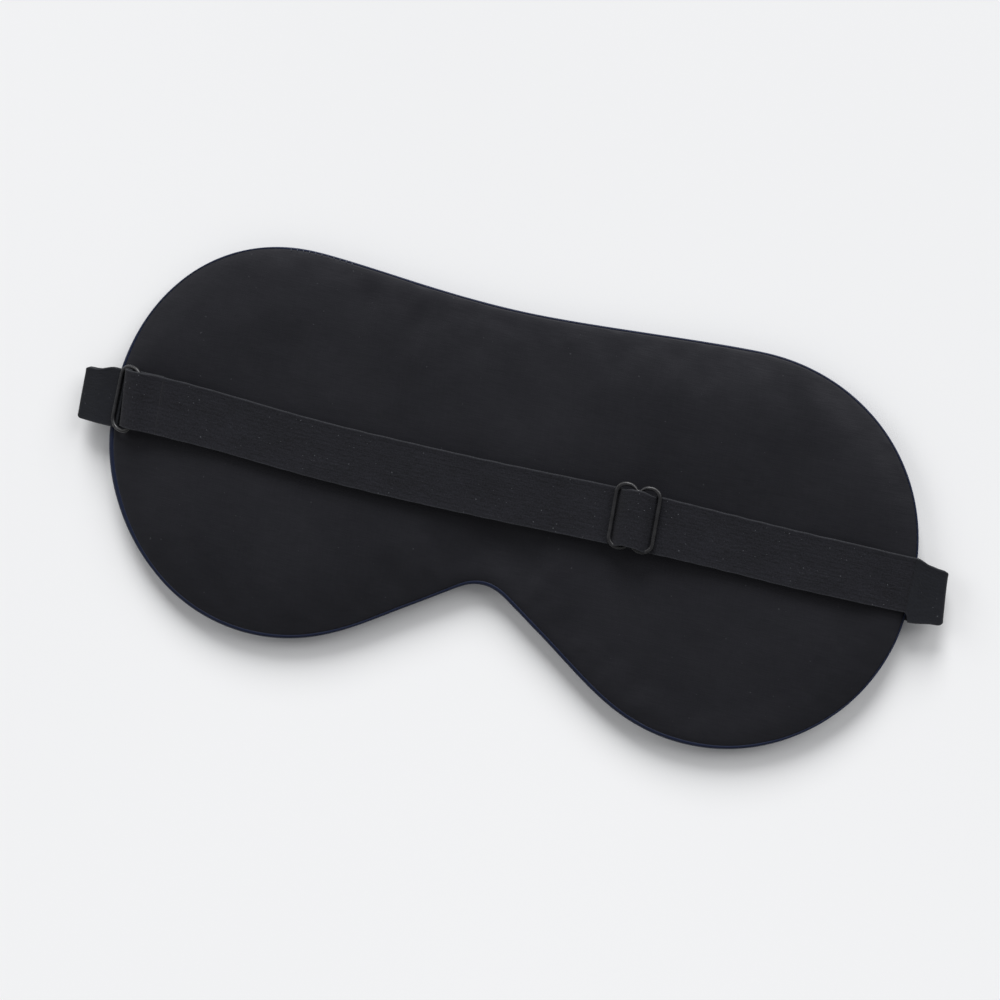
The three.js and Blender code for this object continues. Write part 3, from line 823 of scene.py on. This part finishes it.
def thread_material(name, dark, light):
    """Twisted polyester thread."""
    nodes = Nodes(name)
    place = nodes.add("TexCoord").outputs["Object"]
    ply = nodes.noise(place, (4000, 4000, 4000), 2, 0.5)
    nodes.feed("Base Color", nodes.colours(ply, [(0.35, dark), (0.7, light)]))
    nodes.feed("Normal", nodes.bump(ply, 0.4, 0.0001))
    nodes.set(Roughness=0.55, Sheen_Weight=0.2, Specular_IOR_Level=0.4)
    return nodes.material


def soft_material(name, dark, light, scale, depth):
    """Foam or matt lining: an even cellular surface."""
    nodes = Nodes(name)
    place = nodes.add("TexCoord").outputs["Object"]
    cells = nodes.add("TexVoronoi", Scale=scale)
    nodes.link(place, cells.inputs["Vector"])
    fine = nodes.noise(place, scale * 1.7, 4, 0.6)
    height = nodes.plus(cells.outputs["Distance"], nodes.times(fine, 0.6))
    nodes.feed("Base Color", nodes.colours(height, [(0.2, dark), (0.9, light)]))
    nodes.feed("Normal", nodes.bump(height, 0.5, depth))
    nodes.set(Roughness=0.95, Specular_IOR_Level=0.2)
    return nodes.material


def floor_material():
    """Nearly white paper."""
    nodes = Nodes("studio_floor")
    place = nodes.add("TexCoord").outputs["Object"]
    tone = nodes.noise(place, 3, 2, 0.5)
    base = nodes.colours(tone, [(0.3, (0.86, 0.865, 0.875)), (0.7, (0.88, 0.885, 0.895))])
    nodes.feed("Base Color", base)
    nodes.set(Roughness=0.9, Specular_IOR_Level=0.1)
    return nodes.material


BLACK_SATIN = satin("black_satin", (0.0090, 0.0092, 0.0114), (0.0152, 0.0153, 0.0186), 0.03)
NAVY_SATIN = satin("navy_satin", (0.0058, 0.009, 0.0235), (0.0105, 0.0155, 0.039), 0.04)
ELASTIC_WEAVE = elastic_material("elastic_weave", 0.7, (0.0010, 0.0011, 0.0019), (0.0119, 0.0122, 0.0170))
TAB_WEAVE = elastic_material("elastic_tab_weave", 0.25, (0.0044, 0.0049, 0.0070), (0.0092, 0.0102, 0.0140))
WIRE_COATING = coated_wire()
DARK_THREAD = thread_material("dark_thread", (0.01, 0.013, 0.024), (0.035, 0.042, 0.07))
NAVY_THREAD = thread_material("navy_thread", (0.006, 0.008, 0.02), (0.011, 0.015, 0.036))
FOAM = soft_material("padding_foam", (0.42, 0.41, 0.37), (0.72, 0.71, 0.66), 900, 0.0004)
LINING = soft_material("blackout_lining", (0.005, 0.005, 0.006), (0.016, 0.016, 0.018), 2200, 0.00008)


# ---------- the padded body ----------


def make_body():
    """Makes the covers, the foam and the lining, and returns the body's points and its seam's indices."""
    points, front, back, seam = body_mesh()
    inset = distance_inside(points[:, :2])
    points = simulate(points, front + back, seam, inset)
    points = settle(points, inset)
    front_cover = cover("front_cover", points, front, "front_panel", NAVY_SATIN)
    back_cover = cover("back_cover", points, back, "back_panel", BLACK_SATIN)
    foam_heights = (2.0, BACK_Z - 2.9), (SEAM_Z - 0.3, SEAM_Z + 0.1)
    foam = padding_layer("foam_padding", FOAM_INSET, *foam_heights, "padding", "padding_foam", FOAM)
    lining_heights = (0.95, 1.35), (SEAM_Z - 1.15, SEAM_Z - 0.75)
    lining = padding_layer(
        "lining_sheet", LINING_INSET, *lining_heights, "blackout_lining", "lining_fabric", LINING
    )
    return points, seam


BODY_POINTS, SEAM = make_body()
SEAM_LINE = BODY_POINTS[SEAM]


# ---------- stitches ----------


def capsule_row(name, starts, ends, radius, lift):
    """Short stitches, each a small arched rod from start to end."""
    sides, steps = 6, 5
    points, faces = [], []
    for start, end in zip(starts, ends):
        length = np.linalg.norm(end - start)
        along = (end - start) / length
        side = np.cross(along, [0, 0, 1.0])
        side /= max(np.linalg.norm(side), 1e-9)
        up = np.cross(side, along)
        base = len(points)
        for i in range(steps + 1):
            t = i / steps
            centre = start + along * length * t + up * lift * math.sin(math.pi * t)
            size = radius * (0.45 + 0.55 * math.sin(math.pi * t))
            for k in range(sides):
                a = 2 * math.pi * k / sides
                points.append(centre + size * (side * math.cos(a) + up * math.sin(a)))
        for i in range(steps):
            for k in range(sides):
                a, b = base + i * sides + k, base + i * sides + (k + 1) % sides
                faces.append((a, a + sides, b + sides, b))
        faces.append(tuple(base + k for k in range(sides)))
        faces.append(tuple(base + steps * sides + k for k in range(sides))[::-1])
    return new_object(name, points, faces)


def seam_points(from_x, to_x, upper, pitch):
    """Evenly spaced points of the seam between two X values, on the forehead or the nose half."""
    closed = np.vstack([SEAM_LINE, SEAM_LINE[:1]])
    step = np.r_[0, np.cumsum(np.linalg.norm(np.diff(closed, axis=0), axis=1))]
    at = np.arange(0, step[-1], pitch)
    line = np.column_stack([np.interp(at, step, closed[:, k]) for k in range(3)])
    half = line[:, 1] > STRAP_Y if upper else line[:, 1] < STRAP_Y
    clear = np.abs(line[:, 1] - STRAP_Y) > STRAP_HALF_WIDTH + 1
    return line[half & clear & (line[:, 0] > from_x) & (line[:, 0] < to_x)]


def make_seam_stitches(name, upper, node):
    """Lock stitches in the groove between the two panels, on the forehead or the nose half."""
    line = seam_points(-HALF_WIDTH, HALF_WIDTH, upper, 2.1)
    following = np.roll(line, -1, axis=0)
    joined = np.linalg.norm(following - line, axis=1) < 3
    start, end = line[joined], following[joined]
    sunk = np.array([0, 0, -0.12])
    piece = capsule_row(name, start + sunk, start + 0.72 * (end - start) + sunk, 0.11, 0.05)
    on_mask(piece, node, NAVY_THREAD)


def make_gap_stitches():
    """Hand-sized closing stitches that cross the seam over the turning gap."""
    lowest, highest = low("turning_gap_thread")[0], high("turning_gap_thread")[0]
    line = seam_points(lowest, highest, True, 1.7)
    outward = np.array([-0.25, 0.97, -0.35])
    piece = capsule_row("closing_stitches", line - 0.55 * outward, line + 0.5 * outward, 0.16, 0.12)
    on_mask(piece, "turning_gap_thread", DARK_THREAD)


make_seam_stitches("upper_seam_stitches", True, "upper_seam_thread")
make_seam_stitches("lower_seam_stitches", False, "lower_seam_thread")
make_gap_stitches()


# ---------- elastic: tabs, strap and loops ----------


def add_elastic(piece, *nodes, weave=ELASTIC_WEAVE):
    """Finishes a stretch of elastic that stands for these CAD nodes."""
    finish_with(piece, weave)
    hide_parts(*nodes)


# the middle height of the elastic under a folded end, and of its upper layer
TAIL_Z = low("left_tab")[2] + ELASTIC / 2
TAB_TOP_Z = TAIL_Z + 2 * FOLD_RADIUS
# where the strap's single layer goes into the fold at its sewn end
RIGHT_JOINT_Z = low("strap_right_run")[2] + ELASTIC / 2 + 0.1
BAR_RADIUS = 0.55
LOW_BAR_X, _, LOW_BAR_Z = low("ring") + BAR_RADIUS
HIGH_BAR_X, _, HIGH_BAR_Z = high("ring") - BAR_RADIUS


def make_left_tab():
    """The short tab: out of the seam, folded at its outer end, and down under the ring's low bar."""
    fold_x = -FOLD_X + 0.55
    tail = smooth_path([(-105.8, TAIL_Z), (-110, TAIL_Z), (fold_x + 0.4, TAIL_Z)])
    fold = arc((fold_x, TAIL_Z + FOLD_RADIUS), FOLD_RADIUS, -90, -270, 9)
    corners = [
        (fold_x + 0.5, TAB_TOP_Z + 0.05), (-113.2, TAB_TOP_Z + 0.55), (-110.6, TAB_TOP_Z + 0.45),
        (LOW_BAR_X - 0.9, LOW_BAR_Z - 1.25), (LOW_BAR_X + 0.4, LOW_BAR_Z - 1.1),
        (LOW_BAR_X + 1.9, LOW_BAR_Z - 0.2),
    ]
    path = np.vstack([tail, fold, smooth_path(corners, 0.5)])
    towards_fold = smoothstep(path[:, 0], -109.5, -115.5)
    returning = np.arange(len(path)) > len(path) // 2
    half = np.where(returning, 7.95 - 0.9 * towards_fold, 7.2 - 0.15 * towards_fold)
    centre_y = 2.95 - 0.75 * towards_fold
    piece = band("left_tab_elastic", path, round_tip(path, half), centre_y, 0.02, seed=4, wave=0.3)
    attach(piece, "mask")
    add_elastic(piece, "left_tab", "left_tab_stitch", "left_seam_tack", weave=TAB_WEAVE)


def make_ring_loop():
    """The strap's turn round the ring's high bar, and the start of its two layers."""
    end = RING_LOOP_END_X
    fold_x = HIGH_BAR_X - 3.3
    corners = [
        (end + 1.2, UPPER_Z - 0.12), (end - 0.1, UPPER_Z), (end - 1.2, UPPER_Z),
        (end - 3.4, UPPER_Z + 0.3), (HIGH_BAR_X + 0.9, HIGH_BAR_Z + 1.0),
        (HIGH_BAR_X - 0.9, HIGH_BAR_Z + 1.02), (fold_x + 0.6, HIGH_BAR_Z + 0.45),
        (fold_x, HIGH_BAR_Z - 0.25), (fold_x + 0.6, HIGH_BAR_Z - 0.9),
        (HIGH_BAR_X - 0.8, HIGH_BAR_Z - 1.15), (HIGH_BAR_X + 1.2, HIGH_BAR_Z - 1.12),
        (end - 3, UNDER_Z), (end, UNDER_Z),
    ]
    path = smooth_path(corners, 0.35)
    x = path[:, 0]
    skew = -0.05 * smoothstep(x, end - 4, fold_x)
    piece = band("strap_ring_turn", path, strap_half(x), strap_y(x), skew, seed=5, wave=0.1)
    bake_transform(piece)
    add_elastic(piece, "strap_ring_loop")


def make_upper_run():
    """The upper layer, from the ring to the slider's middle bar."""
    start, end = RING_LOOP_END_X, SLIDER[0]
    corners = [
        (start, UPPER_Z), (start + 2, UPPER_Z), (-80, UPPER_Z + 0.1), (-60, UPPER_Z + 0.3),
        (LIFT_LEFT_X, UPPER_Z + 0.1), (-15, UPPER_Z + 0.25), (10, UPPER_Z), (end - 5, UPPER_Z),
        (end, UPPER_Z),
    ]
    path = smooth_path(corners, 1.0)
    piece = band("strap_upper_run", path, strap_half(path[:, 0]), strap_y(path[:, 0]), seed=6)
    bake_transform(piece)
    add_elastic(piece, "strap_left_run", "strap_centre_run")


def under_layer(name, node, start, end, seed):
    """A stretch of the flat lower layer."""
    path = smooth_path([(start, UNDER_Z), ((start + end) / 2, UNDER_Z), (end, UNDER_Z)], 1.6)
    piece = band(name, path, STRAP_HALF_WIDTH - 0.15, strap_y(path[:, 0]) - 0.1, seed=seed, wave=0.02)
    add_elastic(piece, node)
    return piece


def make_under_run():
    """The lower layer, in two pieces split where the strap's centre run begins: the first lies under the
    stretch that lifts with the strap, and the second is what the slider draws up or lets out.
    """
    first, turn, last = RING_LOOP_END_X, LIFT_LEFT_X, SLIDER[0] - 5.9
    lifted = under_layer("strap_under_run", "strap_under_left_run", first, turn, 7)
    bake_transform(lifted)
    drawn = under_layer("strap_under_middle", "strap_under_centre_run", turn, last, 13)
    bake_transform(drawn)


def make_right_run():
    """One layer from the slider over the mask's right edge."""
    start, end = SLIDER[0], RIGHT_FOLD_END_X
    corners = [
        (start, UPPER_Z), (start + 6, UPPER_Z), (start + 14, UPPER_Z - 0.35), (64, UNDER_Z + 0.2),
        (80, UNDER_Z + 0.1), (92, UNDER_Z), (97.5, 8.7), (103.9, 7.75), (end, RIGHT_JOINT_Z),
    ]
    path = smooth_path(corners, 1.0)
    piece = band("strap_right_layer", path, strap_half(path[:, 0]), strap_y(path[:, 0]), seed=8)
    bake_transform(piece)
    add_elastic(piece, "strap_right_run")


def make_right_fold():
    """The strap's sewn end: its fold sticks out past the mask and leans towards the nose edge."""
    fold_x = FOLD_X - 1.4
    tail = smooth_path([(105.8, TAIL_Z), (110, TAIL_Z), (fold_x - 0.4, TAIL_Z)])
    fold = arc((fold_x, TAIL_Z + FOLD_RADIUS), FOLD_RADIUS, -90, 90, 9)
    corners = [
        (fold_x - 0.5, TAB_TOP_Z + 0.02), (113, TAB_TOP_Z + 0.05), (110.4, RIGHT_JOINT_Z - 0.2),
        (RIGHT_FOLD_END_X, RIGHT_JOINT_Z),
    ]
    path = np.vstack([tail, fold, smooth_path(corners, 0.6)])
    x = path[:, 0]
    under = np.arange(len(x)) < len(x) // 2
    flare = np.maximum(smoothstep(x, 108.6, 109.5), under)
    settling = np.maximum(smoothstep(x, 108.5, 112), under)
    joint_y, joint_half = strap_y(RIGHT_FOLD_END_X), strap_half(RIGHT_FOLD_END_X)
    narrowing = smoothstep(x, 110, 117)
    beneath = 1 - smoothstep(np.linspace(0, 1, len(x)), 0.36, 0.5)
    upper_edge = (joint_y + joint_half) * (1 - settling) + (8.9 - 0.7 * narrowing) * settling
    upper_edge -= 0.5 * beneath
    lower_edge = (joint_y - joint_half) * (1 - flare) + (0.9 * narrowing - 6.5) * flare
    skew = -0.1 * smoothstep(x, 110, 116)
    half, centre_y = round_tip(path, (upper_edge - lower_edge) / 2), (upper_edge + lower_edge) / 2
    piece = band("strap_right_fold", path, half, centre_y, skew, seed=9, wave=0.25)
    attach(piece, "mask")
    add_elastic(piece, "strap_seam_end", "right_seam_tack", weave=TAB_WEAVE)


SLIDER_TURN = math.radians(1.5)
SLIDER_SHIFT = np.array([0.33, 0.3, 0])
SLIDER_SPACING = 5.7
SLIDER_HALF_Y = 8.9


def turned(piece):
    """Turns a piece made about the origin with the slider, and puts it in the slider's place."""
    place = Matrix.Translation(Vector((SLIDER + SLIDER_SHIFT) * MM)) @ Matrix.Rotation(SLIDER_TURN, 4, "Z")
    piece.data.transform(place)
    return piece


def make_slider_pass():
    """The strap inside the slider: under both outer bars and over the middle one."""
    level = UPPER_Z - SLIDER[2]
    corners = [
        (-6.0, level - 0.25), (-5.2, level + 0.1), (-4.3, -0.35), (-3.3, 0.75), (-2.0, 1.5),
        (0, 1.78), (2.1, 1.5), (3.3, 0.8), (4.35, -0.35), (5.2, level + 0.02),
        (6.0, level - 0.35),
    ]
    path = smooth_path(corners, 0.45)
    x = path[:, 0] + SLIDER[0] + SLIDER_SHIFT[0]
    raised = 1 - smoothstep(np.abs(path[:, 0]), 1.2, 4.6)
    centre_y = strap_y(x) - SLIDER[1] - SLIDER_SHIFT[1] - path[:, 0] * SLIDER_TURN + 0.95 * raised
    piece = band("strap_slider_wave", path, strap_half(x) - 0.05, centre_y, seed=10, wave=0.05)
    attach(turned(piece), "slider")
    add_elastic(piece, "strap_slider_pass")


def make_end_loop():
    """The strap's sewn end round the slider's middle bar, under the wave."""
    level = UNDER_Z - SLIDER[2]
    path = np.vstack(
        [
            smooth_path([(-5.2, level), (-3, level + 0.15), (-0.4, -1.22)], 0.5)[:-1],
            arc((0, 0), 1.2, -90, 130, 16),
            [(-1.7, 0.25), (-2.6, -0.75)],
        ]
    )
    piece = band("strap_end_turn", path, 6.8, -0.75, seed=12, wave=0.0, thickness=0.6)
    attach(turned(piece), "slider")
    add_elastic(piece, "strap_end_loop")


make_left_tab()
make_ring_loop()
make_upper_run()
make_under_run()
make_right_run()
make_right_fold()
make_slider_pass()
make_end_loop()


# ---------- wire hardware ----------


def add_wire(piece, part):
    """Coats a wire part, whose CAD node has the same name as its body."""
    finish_with(piece, WIRE_COATING)
    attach(piece, part)
    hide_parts(part)


def make_slider():
    outer = slider_outline(SLIDER_SPACING, SLIDER_HALF_Y, 2.95)
    half_x, half_y = SLIDER_SPACING / 2 - WIRE, SLIDER_HALF_Y - 2 * WIRE
    holes = [loop_outline(side * SLIDER_SPACING / 2, half_x, half_y, 2.1) for side in (-1, 1)]
    piece = filled_wire("slider_frame", [outer, *holes], WIRE)
    add_wire(turned(piece), "slider")


RING_TURN = math.radians(-3.6)
RING_SHIFT = np.array([0.35, 0.05, 0])
RING_HALF_Y = 9.3


def make_ring():
    """The ring leans: its bar by the tab is low, and the one that the strap turns round is high."""
    rise, run = HIGH_BAR_Z - LOW_BAR_Z, HIGH_BAR_X - LOW_BAR_X
    tilt = math.atan2(rise, run)
    spacing = math.hypot(rise, run)
    half_x = spacing / 2 + WIRE
    outer = loop_outline(0, half_x, RING_HALF_Y, 3.5)
    hole = loop_outline(0, half_x - 2 * WIRE, RING_HALF_Y - 2 * WIRE, 2.5)
    piece = filled_wire("ring_frame", [outer, hole], WIRE)
    place = (
        Matrix.Translation(Vector((RING + RING_SHIFT) * MM))
        @ Matrix.Rotation(-tilt, 4, "Y")
        @ Matrix.Rotation(RING_TURN, 4, "Z")
    )
    piece.data.transform(place)
    add_wire(piece, "ring")


make_slider()
make_ring()


# ---------- floor, light and camera ----------

# The camera looks down from above the forehead edge and the right side, about 17 degrees off vertical.
CAMERA_AIM = Vector((0.0002, -0.0006, 0.0045))
CAMERA_DISTANCE = 0.6525
CAMERA_BACK = Vector((0.1971, 0.2102, 0.9576)).normalized()
CAMERA_RIGHT = Vector((0.9540, 0.1839, -0.2368)).normalized()
CAMERA_LENS = 90


def make_camera():
    data = bpy.data.cameras.new("camera")
    data.lens = CAMERA_LENS
    data.sensor_width = 36
    data.clip_start = 0.01
    data.clip_end = 20
    camera = bpy.data.objects.new("camera", data)
    SCENE.collection.objects.link(camera)
    up = CAMERA_BACK.cross(CAMERA_RIGHT)
    right = up.cross(CAMERA_BACK)
    turn = Matrix((right, up, CAMERA_BACK)).transposed().to_4x4()
    camera.matrix_world = Matrix.Translation(CAMERA_AIM + CAMERA_BACK * CAMERA_DISTANCE) @ turn
    SCENE.camera = camera


make_camera()


def add_sun(name, azimuth, elevation, strength, angle):
    """A soft even light. Azimuth is in degrees anticlockwise from the forehead edge's side (+Y)."""
    data = bpy.data.lights.new(name, "SUN")
    data.energy = strength
    data.angle = math.radians(angle)
    lamp = bpy.data.objects.new(name, data)
    a, e = math.radians(azimuth), math.radians(elevation)
    direction = Vector((-math.sin(a) * math.cos(e), math.cos(a) * math.cos(e), math.sin(e)))
    lamp.rotation_euler = direction.to_track_quat("Z", "Y").to_euler()
    SCENE.collection.objects.link(lamp)


def make_studio():
    world = bpy.data.worlds.new("studio")
    world.use_nodes = True
    sky = world.node_tree.nodes["Background"]
    sky.inputs["Color"].default_value = (0.985, 0.99, 1, 1)
    sky.inputs["Strength"].default_value = 0.25
    SCENE.world = world
    add_sun("key", 8, 27, 3.0, 26)
    add_sun("key_left", 66, 32, 0.6, 36)
    add_sun("key_right", -40, 32, 1.35, 36)
    bpy.ops.mesh.primitive_plane_add(size=8, location=(0, 0, 0))
    floor = bpy.context.active_object
    floor.name = "floor"
    finish_with(floor, floor_material())


make_studio()

SCENE.view_settings.view_transform = "Standard"
SCENE.view_settings.look = "None"
